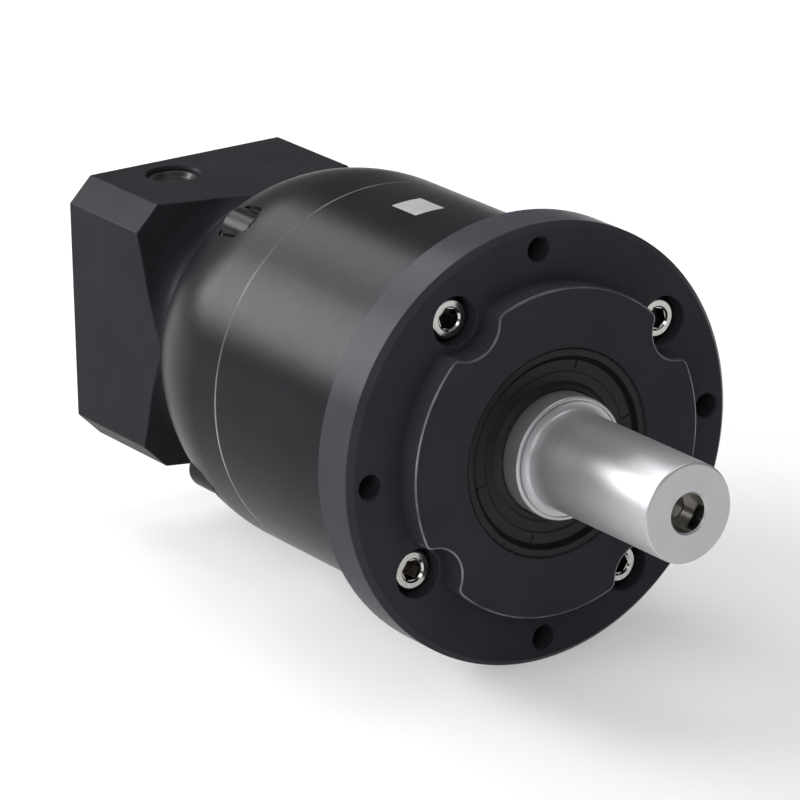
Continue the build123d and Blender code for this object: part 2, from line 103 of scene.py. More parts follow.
class NodeMaker:
    """Adds shader nodes to one material and links them."""

    def __init__(self, name: str) -> None:
        """Starts a node material.

        Args:
            name: The material's name.
        """
        self.material = bpy.data.materials.new(name)
        self.material.use_nodes = True
        self.tree = self.material.node_tree
        self.shader = self.tree.nodes["Principled BSDF"]
        self.place = self.add("ShaderNodeTexCoord").outputs["Object"]

    def add(self, kind: str, **values: object) -> bpy.types.Node:
        """Adds one node.

        Args:
            kind: The node's type name.
            values: Values of its input sockets or of its own settings.

        Returns:
            The new node.
        """
        node = self.tree.nodes.new(kind)
        for key, value in values.items():
            if key in node.inputs:
                node.inputs[key].default_value = value
            else:
                setattr(node, key, value)
        return node

    def link(self, source: bpy.types.NodeSocket, target: bpy.types.NodeSocket) -> None:
        """Links two sockets."""
        self.tree.links.new(source, target)

    def stretched(self, scale: Triple) -> bpy.types.NodeSocket:
        """Object coordinates scaled per axis, so that a pattern runs along a direction.

        Args:
            scale: The factor on X, Y and Z.

        Returns:
            The mapped coordinates.
        """
        mapping = self.add("ShaderNodeMapping")
        mapping.inputs["Scale"].default_value = scale
        self.link(self.place, mapping.inputs["Vector"])
        return mapping.outputs["Vector"]

    def noise(self, where: bpy.types.NodeSocket, size: float, detail: float) -> bpy.types.NodeSocket:
        """Noise with grains of a given size.

        Args:
            where: The coordinates.
            size: The grain in metres.
            detail: The noise's detail.

        Returns:
            The noise factor.
        """
        noise = self.add("ShaderNodeTexNoise", Scale=1.0 / size, Detail=detail, Roughness=NOISE_ROUGHNESS)
        self.link(where, noise.inputs["Vector"])
        return noise.outputs["Fac"]

    def ranged(self, factor: bpy.types.NodeSocket, low: float, high: float) -> bpy.types.NodeSocket:
        """Maps a noise factor onto a range.

        Args:
            factor: The factor.
            low: The value at the low end.
            high: The value at the high end.

        Returns:
            The mapped value.
        """
        mapped = self.add("ShaderNodeMapRange")
        mapped.inputs["From Min"].default_value = NOISE_LOW
        mapped.inputs["From Max"].default_value = NOISE_HIGH
        mapped.inputs["To Min"].default_value = low
        mapped.inputs["To Max"].default_value = high
        self.link(factor, mapped.inputs["Value"])
        return mapped.outputs["Result"]

    def colours(self, factor: bpy.types.NodeSocket, dark: Triple, pale: Triple) -> None:
        """Blends two base colours by a noise factor.

        Args:
            factor: The factor.
            dark: The colour at the low end.
            pale: The colour at the high end.
        """
        ramp = self.add("ShaderNodeValToRGB")
        ramp.color_ramp.elements[0].position = NOISE_LOW
        ramp.color_ramp.elements[0].color = (*dark, 1.0)
        ramp.color_ramp.elements[1].position = NOISE_HIGH
        ramp.color_ramp.elements[1].color = (*pale, 1.0)
        self.link(factor, ramp.inputs["Fac"])
        self.link(ramp.outputs["Color"], self.shader.inputs["Base Color"])

    def bump(self, height: bpy.types.NodeSocket, depth: float) -> None:
        """Turns a height into small bumps.

        Args:
            height: The height factor.
            depth: The depth of the bumps in metres.
        """
        bump = self.add("ShaderNodeBump", Strength=1.0, Distance=depth)
        self.link(height, bump.inputs["Height"])
        self.link(bump.outputs["Normal"], self.shader.inputs["Normal"])


@dataclass(frozen=True)
class Anodised:
    """Satin black anodising over turned or milled aluminium."""

    name: str
    dark: Triple
    pale: Triple
    roughness: tuple[float, float]
    specular: float
    tint: tuple[float, ...] = (1.0, 0.90, 1.0, 1.0)
    cloud_size: float = 0.014
    lay: Triple = (1.0, 0.2, 0.2)
    lay_size: float = 0.0005
    lay_depth: float = 0.0000012

    def material(self) -> bpy.types.Material:
        """Builds the finish.

        Returns:
            The node material.
        """
        maker = NodeMaker(self.name)
        clouds = maker.noise(maker.place, self.cloud_size, SOFT_DETAIL)
        maker.colours(clouds, self.dark, self.pale)
        marks = maker.noise(maker.stretched(self.lay), self.lay_size, MARK_DETAIL)
        maker.link(maker.ranged(marks, *self.roughness), maker.shader.inputs["Roughness"])
        maker.bump(marks, self.lay_depth)
        maker.shader.inputs["Specular IOR Level"].default_value = self.specular
        maker.shader.inputs["Specular Tint"].default_value = self.tint
        return maker.material


@dataclass(frozen=True)
class Metal:
    """Bare or plated metal with a lay of fine machining marks."""

    name: str
    dark: Triple
    pale: Triple
    roughness: tuple[float, float]
    lay: Triple
    lay_size: float = 0.00025
    lay_depth: float = 0.0000003
    metallic: float = 1.0

    def material(self) -> bpy.types.Material:
        """Builds the finish.

        Returns:
            The node material.
        """
        maker = NodeMaker(self.name)
        marks = maker.noise(maker.stretched(self.lay), self.lay_size, MARK_DETAIL)
        maker.colours(marks, self.dark, self.pale)
        maker.link(maker.ranged(marks, *self.roughness), maker.shader.inputs["Roughness"])
        maker.bump(marks, self.lay_depth)
        maker.shader.inputs["Metallic"].default_value = self.metallic
        return maker.material


@dataclass(frozen=True)
class Moulded:
    """Rubber or plastic with a fine moulded texture."""

    name: str
    dark: Triple
    pale: Triple
    roughness: tuple[float, float]
    specular: float = 0.3
    cloud_size: float = 0.004
    grain_size: float = 0.0006
    grain_depth: float = 0.000006

    def material(self) -> bpy.types.Material:
        """Builds the finish.

        Returns:
            The node material.
        """
        maker = NodeMaker(self.name)
        clouds = maker.noise(maker.place, self.cloud_size, SOFT_DETAIL)
        maker.colours(clouds, self.dark, self.pale)
        grain = maker.noise(maker.place, self.grain_size, SOFT_DETAIL)
        maker.link(maker.ranged(grain, *self.roughness), maker.shader.inputs["Roughness"])
        maker.bump(grain, self.grain_depth)
        maker.shader.inputs["Specular IOR Level"].default_value = self.specular
        return maker.material


class Finishes:
    """Every finish of the gearbox, each made once and kept by its slot."""

    def __init__(self) -> None:
        """Builds the materials."""
        around_x = (1.0, 0.05, 0.05)
        across_face = (0.2, 1.0, 1.0)
        along_side = (0.3, 1.0, 0.3)
        along_edge = (1.0, 0.3, 0.3)
        every_way = (1.0, 1.0, 1.0)
        self.by_slot = {
            Slot.HOUSING: Anodised("black anodised barrel", (0.0080, 0.0068, 0.0088),
                                   (0.0115, 0.0100, 0.0126), (0.27, 0.33), 0.068).material(),
            Slot.FLANGE: Anodised("black anodised flange", (0.0500, 0.0455, 0.0570),
                                  (0.0600, 0.0550, 0.0680), (0.25, 0.30), 0.03, lay=across_face,
                                  lay_depth=0.0000003).material(),
            Slot.ADAPTER: Anodised("black anodised adapter", (0.0160, 0.0146, 0.0178),
                                   (0.0215, 0.0198, 0.0240), (0.36, 0.44), 0.035,
                                   lay=along_side).material(),
            Slot.SHAFT: Metal("ground steel shaft", (0.56, 0.56, 0.58), (0.62, 0.62, 0.64), (0.40, 0.45),
                              around_x, metallic=0.78).material(),
            Slot.SCREW: Metal("nickel plated screw", (0.50, 0.49, 0.47), (0.62, 0.61, 0.59), (0.10, 0.16),
                              every_way, 0.0006, 0.000002).material(),
            Slot.GEAR: Metal("hardened gear steel", (0.26, 0.26, 0.27), (0.38, 0.38, 0.39), (0.28, 0.4),
                             every_way).material(),
            Slot.BEARING: Metal("polished bearing steel", (0.50, 0.50, 0.51), (0.62, 0.62, 0.63),
                                (0.14, 0.22), around_x).material(),
            Slot.BRONZE: Metal("turned bronze", (0.42, 0.26, 0.09), (0.55, 0.36, 0.15), (0.25, 0.36),
                               around_x).material(),
            Slot.SPRING: Metal("phosphated spring steel", (0.10, 0.10, 0.105), (0.16, 0.16, 0.165),
                               (0.4, 0.5), every_way).material(),
            Slot.SEAL: Moulded("seal rubber", (0.0095, 0.0086, 0.0088), (0.0140, 0.0130, 0.0134),
                               (0.42, 0.52)).material(),
            Slot.PLUG: Moulded("plug plastic", (0.007, 0.0065, 0.0075), (0.012, 0.0115, 0.0125),
                               (0.28, 0.36)).material()}
        # Pale metal on the seam chamfers is a painted highlight: the bright line that light draws along each
        # seam.
        self.seam_edge_highlight = Metal("painted highlight on a seam edge", (0.15, 0.145, 0.155), (0.46, 0.45, 0.47),
                               (0.3, 0.42), along_edge, 0.004).material()
        # Pale metal on the boss's eased front edge is a painted highlight along that edge.
        self.boss_edge_highlight = Metal("painted highlight on the boss edge", (0.045, 0.042, 0.048), (0.30, 0.29, 0.31),
                               (0.3, 0.42), every_way, 0.012).material()
        # Dark steel inside the screw sockets is painted shade in those recesses.
        self.socket = Metal("painted shade in the screw sockets", (0.05, 0.045, 0.04), (0.13, 0.12, 0.11), (0.08, 0.14),
                            every_way, 0.0006, 0.000002).material()
        # Darker steel inside the shaft's centre hole is painted shade in that recess.
        self.bore = Metal("painted shade in the centre hole", (0.30, 0.29, 0.27), (0.42, 0.41, 0.39), (0.12, 0.20),
                          around_x).material()
        self.blank_patch = Moulded("pale blank patch", (0.36, 0.36, 0.365), (0.42, 0.42, 0.425),
                                   (0.45, 0.55), grain_depth=0.000001).material()

    def of(self, slot: Slot) -> bpy.types.Material:
        """The finish of a slot."""
        return self.by_slot[slot]

    def dress_nodes(self, nodes: dict[str, bpy.types.Object]) -> None:
        """Gives every node of the frame its finish.

        Args:
            nodes: The frame's nodes by name.
        """
        slots = {part["node"]: Slot(part["material_slot"]) for part in frame["record"]["subparts"]}
        for name, node in nodes.items():
            for holder in node.material_slots:
                holder.material = self.of(slots[name])


def soften(bm: bmesh.types.BMesh, geom: list, width: float, segments: int, corners: bool = False,
           clamp: bool = True) -> None:
    """Bevels edges or corners.

    Args:
        bm: The shape.
        geom: The edges, or the corners with the edges that meet there.
        width: The bevel's offset in millimetres.
        segments: The number of steps across each bevel.
        corners: Whether corners are bevelled and not edges.
        clamp: Whether a bevel stops where it meets another.
    """
    bmesh.ops.bevel(bm, geom=geom, offset=width, offset_type="OFFSET", segments=segments, profile=0.5,
                    affect="VERTICES" if corners else "EDGES", clamp_overlap=clamp, material=-1)


def box(size: Triple) -> bmesh.types.BMesh:
    """A box about the origin with the given sides in millimetres."""
    bm = bmesh.new()
    bmesh.ops.create_cube(bm, size=1.0)
    bmesh.ops.scale(bm, verts=bm.verts[:], vec=size)
    return bm


def rounded_chain(corners: Profile, radius: float, closed: bool = False) -> bmesh.types.BMesh:
    """Joined edges through the corners of a turned profile, with the corners off the axis rounded.

    Args:
        corners: The (x, radius) corners in millimetres.
        radius: The rounding's offset at each corner, or 0 for sharp corners.
        closed: Whether the last corner joins the first, as in a ring.

    Returns:
        The profile in the XY half plane.
    """
    bm = bmesh.new()
    verts = [bm.verts.new((x, height, 0.0)) for x, height in corners]
    edges = [bm.edges.new(pair) for pair in zip(verts, verts[1:])]
    if closed:
        edges.append(bm.edges.new((verts[-1], verts[0])))
    inner = verts if closed else verts[1:-1]
    if radius > 0.0:
        soften(bm, inner + edges, radius, ROUNDING_STEPS, corners=True)
    return bm


def spun(bm: bmesh.types.BMesh, steps: int) -> bmesh.types.BMesh:
    """Spins a profile once round the gearbox axis.

    Args:
        bm: The profile in the XY half plane.
        steps: The number of faces round the axis.

    Returns:
        The same shape, closed.
    """
    bmesh.ops.spin(bm, geom=bm.verts[:] + bm.edges[:], cent=(0.0, 0.0, 0.0), axis=(1.0, 0.0, 0.0),
                   angle=FULL_TURN, steps=steps, use_merge=True)
    bmesh.ops.remove_doubles(bm, verts=bm.verts[:], dist=MERGE_DISTANCE)
    bmesh.ops.recalc_face_normals(bm, faces=bm.faces[:])
    return bm


def turned(corners: Profile, radius: float = 0.0, closed: bool = False,
           steps: int = ROUND_STEPS) -> bmesh.types.BMesh:
    """Solid or ring of revolution about the gearbox axis.

    Args:
        corners: The (x, radius) corners in millimetres.
        radius: The rounding's offset at each corner.
        closed: Whether the profile is a ring's closed outline.
        steps: The number of faces round the axis.

    Returns:
        The closed shape.
    """
    return spun(rounded_chain(corners, radius, closed), steps)


def moved(bm: bmesh.types.BMesh, place: Triple, turn: float = 0.0) -> bmesh.types.BMesh:
    """Moves a shape, then turns it about the gearbox axis.

    Args:
        bm: The shape.
        place: The move in millimetres.
        turn: The turn in degrees.

    Returns:
        The same shape.
    """
    bmesh.ops.translate(bm, verts=bm.verts[:], vec=place)
    bmesh.ops.rotate(bm, verts=bm.verts[:], cent=(0.0, 0.0, 0.0),
                     matrix=Matrix.Rotation(math.radians(turn), 3, "X"))
    return bm


def upright(bm: bmesh.types.BMesh) -> bmesh.types.BMesh:
    """Turns a shape made along the gearbox axis so that its front points up."""
    bmesh.ops.rotate(bm, verts=bm.verts[:], cent=(0.0, 0.0, 0.0),
                     matrix=Matrix.Rotation(-math.pi / 2, 3, "Y"))
    return bm


def hexagon_bar(back: float, front: float, flats: float) -> bmesh.types.BMesh:
    """Hexagonal bar along the gearbox axis, between two stations.

    Args:
        back: The rear station in millimetres.
        front: The front station.
        flats: The width across flats.

    Returns:
        The closed bar.
    """
    bm = bmesh.new()
    corner_radius = flats / math.sqrt(3.0)
    bmesh.ops.create_cone(bm, cap_ends=True, segments=6, radius1=corner_radius, radius2=corner_radius,
                          depth=front - back)
    return moved(upright(bm), ((front + back) / 2, 0.0, 0.0))


def joined(shapes: list[bmesh.types.BMesh]) -> bmesh.types.BMesh:
    """Gathers several shapes in one mesh.

    Args:
        shapes: The shapes, which are freed.

    Returns:
        The gathered shape.
    """
    whole = bmesh.new()
    for shape in shapes:
        mesh = bpy.data.meshes.new("gathered")
        shape.to_mesh(mesh)
        shape.free()
        whole.from_mesh(mesh)
        bpy.data.meshes.remove(mesh)
    return whole


def as_object(name: str, bm: bmesh.types.BMesh) -> bpy.types.Object:
    """Puts a shape into a linked object and frees the shape.

    Args:
        name: The object's name.
        bm: The shape.

    Returns:
        The new object.
    """
    mesh = bpy.data.meshes.new(name)
    bm.to_mesh(mesh)
    bm.free()
    piece = bpy.data.objects.new(name, mesh)
    bpy.context.scene.collection.objects.link(piece)
    return piece


def carved(bm: bmesh.types.BMesh, how: Carve, cutters: list[bmesh.types.BMesh]) -> bmesh.types.BMesh:
    """Cuts shapes out of a shape, joins them to it, or keeps what they share.

    Args:
        bm: The shape.
        how: What the cutters do.
        cutters: The cutters, which are freed.

    Returns:
        The carved shape.
    """
    base = as_object("blank", bm)
    cutter = as_object("cutter", joined(cutters))
    boolean = base.modifiers.new("carve", "BOOLEAN")
    boolean.operation = how.value
    boolean.solver = "EXACT"
    boolean.object = cutter
    solved = base.evaluated_get(bpy.context.evaluated_depsgraph_get())
    result = bmesh.new()
    result.from_mesh(solved.to_mesh())
    solved.to_mesh_clear()
    for helper in (base, cutter):
        mesh = helper.data
        bpy.data.objects.remove(helper)
        bpy.data.meshes.remove(mesh)
    bmesh.ops.remove_doubles(result, verts=result.verts[:], dist=MERGE_DISTANCE)
    bmesh.ops.dissolve_limit(result, angle_limit=math.radians(FLAT_ANGLE), verts=result.verts[:],
                             edges=result.edges[:], use_dissolve_boundaries=False)
    return result


def ease_edges(bm: bmesh.types.BMesh, width: float, sharpest: float,
               within: tuple[float, float]) -> None:
    """Breaks the outward edges that are still sharp.

    Args:
        bm: The shape.
        width: The width of the break in millimetres.
        sharpest: The angle in degrees above which an edge is broken.
        within: The stations along the axis between which edges are broken.
    """
    bmesh.ops.recalc_face_normals(bm, faces=bm.faces[:])
    limit = math.radians(sharpest)
    chosen = [edge for edge in bm.edges
              if edge.is_manifold and edge.calc_face_angle_signed() > limit
              and all(within[0] <= vert.co.x <= within[1] for vert in edge.verts)]
    soften(bm, chosen, width, ROUNDING_STEPS, clamp=False)
    bmesh.ops.remove_doubles(bm, verts=bm.verts[:], dist=MERGE_DISTANCE)


def finished(name: str, bm: bmesh.types.BMesh, material: bpy.types.Material, body: Body,
             nodes: tuple[str, ...] = (), scale: float = MM) -> bpy.types.Object:
    """Turns a shape into a piece that rides on its body and stands for its nodes.

    Args:
        name: The piece's name.
        bm: The shape in millimetres.
        material: Its finish.
        body: The body that it rides on.
        nodes: The nodes that it replaces.
        scale: The factor from the shape's unit to metres.

    Returns:
        The piece.
    """
    bmesh.ops.scale(bm, verts=bm.verts[:], vec=(scale, scale, scale))
    bmesh.ops.recalc_face_normals(bm, faces=bm.faces[:])
    for face in bm.faces:
        face.smooth = True
    piece = as_object(name, bm)
    piece.data.materials.append(material)
    piece.data.set_sharp_from_angle(angle=math.radians(SHARP_ANGLE))
    shading = piece.modifiers.new("even shading", "WEIGHTED_NORMAL")
    shading.keep_sharp = True
    shading.weight = SHADING_WEIGHT
    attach(piece, body.value)
    if nodes:
        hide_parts(*nodes)
    LOG.info("%s: %d faces", name, len(piece.data.polygons))
    return piece


@dataclass(frozen=True)
class ScrewCircle:
    """A ring of screws or holes about the gearbox axis."""

    radius: float
    first: float
    count: int = 4

    def angles(self) -> list[float]:
        """The angles of the places in degrees."""
        return [self.first + 360.0 * place / self.count for place in range(self.count)]

    def copies(self, corners: Profile, rounding: float = 0.0) -> list[bmesh.types.BMesh]:
        """A turned shape at every place of the circle.

        Args:
            corners: The (x, radius) corners of the shape about its own axis.
            rounding: The rounding of its corners.

        Returns:
            The shapes.
        """
        return [moved(turned(corners, rounding, steps=HOLE_STEPS), (0.0, self.radius, 0.0), angle)
                for angle in self.angles()]


CLAMP_CIRCLE = ScrewCircle(35.5, 34.0)
ADAPTER_CIRCLE = ScrewCircle(24.5, 70.0)


@dataclass
class FlangeHousing:
    """Mounting flange with its centring boss, spigot, seal seat and bearing seat."""

    flange_radius: float = 45.0
    thickness: float = 11.0
    edge_chamfer: float = 1.2
    boss_height: float = 5.5
    boss_radius: float = 33.5
    boss_ease: float = 0.4
    sharp_edge: float = 50.0
    notch_radius: float = 6.4
    notch_corner: float = 2.0
    spigot_radius: float = 31.0
    spigot_back: float = -23.9
    mounting_circle: ScrewCircle = ScrewCircle(40.0, 0.0)

    def boss_outline(self, bm: bmesh.types.BMesh) -> None:
        """Draws the boss outline by spinning one vertex through its arcs, then fills it.

        Args:
            bm: The empty shape to draw in.
        """
        centre = CLAMP_CIRCLE.radius
        inner = self.boss_radius - self.notch_corner
        outer = self.notch_radius + self.notch_corner
        corner_x = (inner ** 2 + centre ** 2 - outer ** 2) / (2.0 * centre)
        corner_y = math.sqrt(inner ** 2 - corner_x ** 2)
        boss_angle = math.atan2(corner_y, corner_x)
        notch_angle = math.atan2(corner_y, centre - corner_x)
        ease_angle = notch_angle + boss_angle
        quarter = math.pi / 2.0
        sweeps = (
            ((centre, 0.0), -notch_angle, 10), ((corner_x, corner_y), ease_angle, 6),
            ((0.0, 0.0), quarter - 2.0 * boss_angle, 30),
            ((corner_y, corner_x), ease_angle, 6), ((0.0, centre), -notch_angle, 10))
        vert = bm.verts.new((0.0, centre - self.notch_radius, 0.0))
        for place, sweep, steps in sweeps:
            made = bmesh.ops.spin(bm, geom=[vert], cent=(0.0, *place), axis=(1.0, 0.0, 0.0), angle=sweep,
                                  steps=steps, use_merge=False, use_duplicate=False)
            vert = next(item for item in made["geom_last"] if isinstance(item, bmesh.types.BMVert))
        bmesh.ops.spin(bm, geom=bm.verts[:] + bm.edges[:], cent=(0.0, 0.0, 0.0), axis=(1.0, 0.0, 0.0),
                       angle=3.0 * quarter, steps=3, use_duplicate=True)
        bmesh.ops.remove_doubles(bm, verts=bm.verts[:], dist=0.01)
        bmesh.ops.contextual_create(bm, geom=bm.edges[:])

    def boss(self) -> bmesh.types.BMesh:
        """The boss with its notches, front edge eased."""
        bm = bmesh.new()
        self.boss_outline(bm)
        made = bmesh.ops.extrude_face_region(bm, geom=bm.faces[:])
        front = [item for item in made["geom"] if isinstance(item, bmesh.types.BMVert)]
        bmesh.ops.translate(bm, verts=front, vec=(self.boss_height + 1.0, 0.0, 0.0))
        moved(bm, (-1.0, 0.0, 0.0), CLAMP_CIRCLE.first)
        ease_edges(bm, self.boss_ease, self.sharp_edge, (self.boss_height - 0.1, self.boss_height + 0.1))
        return bm

    def build(self, finishes: Finishes) -> None:
        """Builds and dresses the flange.

        Args:
            finishes: The finishes.
        """
        edge = self.edge_chamfer
        back = -self.thickness
        blank = turned([
            (0.0, 0.0), (0.0, self.flange_radius - edge), (-edge, self.flange_radius),
            (back + 0.3, self.flange_radius), (back, self.flange_radius - 0.3), (back, self.spigot_radius),
            (self.spigot_back, self.spigot_radius), (self.spigot_back, 0.0)], 0.12, steps=BODY_STEPS)
        blank = carved(blank, Carve.JOIN, [self.boss()])
        top = self.boss_height
        bore = turned([
            (top + 1.0, 0.0), (top + 1.0, 22.2), (top - 0.5, 21.0), (-2.4, 21.0), (-2.4, 26.0),
            (-17.5, 26.0), (-17.5, 27.0), (-19.1, 27.0), (-19.1, 26.0), (self.spigot_back - 1.0, 26.0),
            (self.spigot_back - 1.0, 0.0)])
        mounting = self.mounting_circle.copies([
            (0.6, 0.0), (0.6, 3.5), (-0.4, 2.5), (-9.5, 2.5), (-10.8, 0.0)])
        counterbores = CLAMP_CIRCLE.copies([
            (0.4, 0.0), (0.4, 5.6), (-0.2, 5.0), (-7.0, 5.0), (-7.0, 2.75), (-11.5, 2.75), (-11.5, 0.0)])
        blank = carved(blank, Carve.AWAY, [bore, *mounting, *counterbores])
        piece = finished("flange_housing", blank, finishes.of(Slot.FLANGE), Body.HOUSING,
                         ("output_housing",))
        # The boss's eased front edge gets the pale finish, a painted highlight.
        mark_faces(piece, finishes.boss_edge_highlight, self.on_boss_edge)

    def on_boss_edge(self, centre: Vector, normal: Vector) -> bool:
        """Whether a face lies on the eased front edge of the boss."""
        middle = self.boss_height - self.boss_ease / 2.0
        outward = math.hypot(centre.y, centre.z)
        return abs(centre.x - middle) < 0.25 and outward > 28.0 and 0.3 < normal.x < 0.97


@dataclass
class RearHousing:
    """Rear part of the body: a short barrel, a dome down to the adapter and four screw pockets."""

    seam: float = -56.8
    radius: float = BARREL_RADIUS
    shoulder_front: float = -65.0
    rim: float = -93.6
    drop: float = 11.0
    shoulder_steps: int = 24
    pocket: Triple = (8.8, 14.0, 8.7)
    pocket_place: Triple = (-74.6, 43.7, 0.0)
    pocket_corner: float = 1.5

    def outside(self) -> Profile:
        """The profile of the shoulder's round, from front to back."""
        run = self.shoulder_front - self.rim
        sweep = (run ** 2 + self.drop ** 2) / (2.0 * self.drop)
        points = []
        for step in range(self.shoulder_steps):
            along = run * step / self.shoulder_steps
            points.append((self.shoulder_front - along,
                           self.radius - sweep + math.sqrt(sweep ** 2 - along ** 2)))
        return points

    def pocket_cutter(self, angle: float) -> bmesh.types.BMesh:
        """A rounded box that cuts one run-out pocket.

        Args:
            angle: The pocket's angle about the axis in degrees.

        Returns:
            The cutter.
        """
        bm = box(self.pocket)
        radial = [edge for edge in bm.edges if abs(edge.verts[0].co.y - edge.verts[1].co.y) > 1.0]
        soften(bm, radial, self.pocket_corner, 5)
        return moved(bm, self.pocket_place, angle)

    def build(self, finishes: Finishes) -> None:
        """Builds and dresses the rear housing.

        Args:
            finishes: The finishes.
        """
        edge = 0.25
        rim_radius = self.radius - self.drop
        blank = turned([
            (-49.6, 0.0), (-49.6, 31.0), (self.seam, 31.0), (self.seam, self.radius - edge),
            (self.seam - edge, self.radius), *self.outside(), (self.rim + edge, rim_radius + edge),
            (self.rim, rim_radius), (self.rim, 21.98), (self.rim - 2.1, 21.98), (self.rim - 2.1, 0.0)],
            steps=BODY_STEPS)
        bore = turned([
            (-48.6, 0.0), (-48.6, 21.0), (-56.7, 21.0), (-56.7, 18.5), (-58.7, 18.5), (-58.7, 14.0),
            (-65.8, 14.0), (-65.8, 17.5), (self.rim - 3.2, 17.5), (self.rim - 3.2, 0.0)])
        threads = CLAMP_CIRCLE.copies([(-56.0, 0.0), (-56.0, 2.52), (-71.8, 2.52), (-71.8, 0.0)])
        taps = ADAPTER_CIRCLE.copies([
            (-73.0, 0.0), (-73.0, 2.02), (self.rim - 1.0, 2.02), (self.rim - 1.0, 0.0)])
        pockets = [self.pocket_cutter(angle) for angle in CLAMP_CIRCLE.angles()]
        ears = CLAMP_CIRCLE.copies([(-68.0, 0.0), (-68.0, 4.1), (-78.3, 4.1), (-78.3, 0.0)], 1.2)
        shape = carved(blank, Carve.AWAY, [bore, *taps, *pockets])
        shape = carved(shape, Carve.JOIN, ears)
        shape = carved(shape, Carve.AWAY, threads)
        piece = finished("rear_body", shape, finishes.of(Slot.HOUSING), Body.HOUSING,
                         ("rear_housing",))
        # The seam chamfer gets the pale finish, a painted highlight.
        mark_faces(piece, finishes.seam_edge_highlight, on_seam_edge)


@dataclass
class MotorAdapter:
    """Square adapter block with cut corners, turned down in front to a round neck."""

    front: float = -93.6
    back: float = -130.3
    side: float = 57.0
    corner: float = 5.2
    neck_radius: float = 28.4
    neck_fillet: float = 3.5
    neck_back: float = -98.5
    cone_slope: float = 0.57
    access_place: Triple = (-120.3, -9.0, 0.0)
    access_radius: float = 5.5

    def block(self) -> bmesh.types.BMesh:
        """The square bar with its long corners cut."""
        bm = box((self.front - self.back, self.side, self.side))
        corners = [edge for edge in bm.edges if abs(edge.verts[0].co.x - edge.verts[1].co.x) > 1.0]
        soften(bm, corners, self.corner, 1)
        return moved(bm, ((self.front + self.back) / 2.0, 0.0, 0.0))

    def envelope(self) -> bmesh.types.BMesh:
        """The turned shape that the block's front is cut to."""
        half = self.side / 2.0
        widest = half * math.sqrt(2.0) + 2.0
        root = self.neck_back + self.cone_slope * (half - self.neck_radius)
        cone_back = self.neck_back - self.cone_slope * (widest - half)
        bm = rounded_chain([
            (self.front + 1.0, 0.0), (self.front + 1.0, self.neck_radius), (root, self.neck_radius),
            (cone_back, widest), (self.back - 1.0, widest), (self.back - 1.0, 0.0)], 0.0)
        bm.verts.ensure_lookup_table()
        soften(bm, [bm.verts[2], *bm.edges[:]], self.neck_fillet, 10, corners=True)
        return spun(bm, ROUND_STEPS)

    def access_bore(self) -> bmesh.types.BMesh:
        """Cutter of the hole over the clamp screw, with an eased mouth."""
        half = self.side / 2.0
        radius = self.access_radius
        bm = turned([(7.0, 0.0), (7.0, radius), (half - 0.5, radius), (half + 0.6, radius + 1.1),
                     (half + 0.6, 0.0)], steps=SMALL_STEPS)
        return moved(upright(bm), self.access_place)

    def build(self, finishes: Finishes) -> None:
        """Builds and dresses the adapter.

        Args:
            finishes: The finishes.
        """
        shape = carved(self.block(), Carve.WITHIN, [self.envelope()])
        ease_edges(shape, 0.3, sharpest=20.0, within=(-140.0, -95.3))
        back = self.back
        ahead = self.front + 1.0
        register = self.front - 2.2
        cavity = turned([
            (ahead, 0.0), (ahead, 22.0), (register, 22.0), (register, 17.0), (back + 2.5, 17.0),
            (back + 2.5, 19.05), (back + 0.3, 19.05), (back - 1.0, 20.35), (back - 1.0, 0.0)])
        clearance = ADAPTER_CIRCLE.copies([
            (ahead, 0.0), (ahead, 2.25), (-104.0, 2.25), (-104.0, 3.75), (back + 0.3, 3.75),
            (back - 1.0, 5.05), (back - 1.0, 0.0)])
        bolts = ScrewCircle(33.33, 45.0).copies([
            (back + 13.2, 0.0), (back + 12.0, 2.1), (back + 0.4, 2.1), (back - 0.6, 3.1), (back - 0.6, 0.0)])
        shape = carved(shape, Carve.AWAY, [cavity, *clearance, *bolts])
        shape = carved(shape, Carve.AWAY, [self.access_bore()])
        finished("motor_adapter_block", shape, finishes.of(Slot.ADAPTER), Body.HOUSING,
                 ("motor_adapter",))


@dataclass
class AccessPlug:
    """Push-in plug with a dished top."""

    place: Triple = (-120.3, -9.0, 27.7)
    radius: float = 5.48
    height: float = 4.0

    def build(self, finishes: Finishes) -> None:
        """Builds and dresses the plug.

        Args:
            finishes: The finishes.
        """
        plug = turned([
            (-self.height, 0.0), (-self.height, self.radius), (0.0, self.radius), (0.0, self.radius - 1.1),
            (-0.9, self.radius - 1.9), (-0.9, 1.2), (-0.6, 0.0)], 0.25, steps=SMALL_STEPS)
        moved(upright(plug), self.place)
        finished("plug_over_clamp_screw", plug, finishes.of(Slot.PLUG), Body.HOUSING,
                 ("access_plug",))


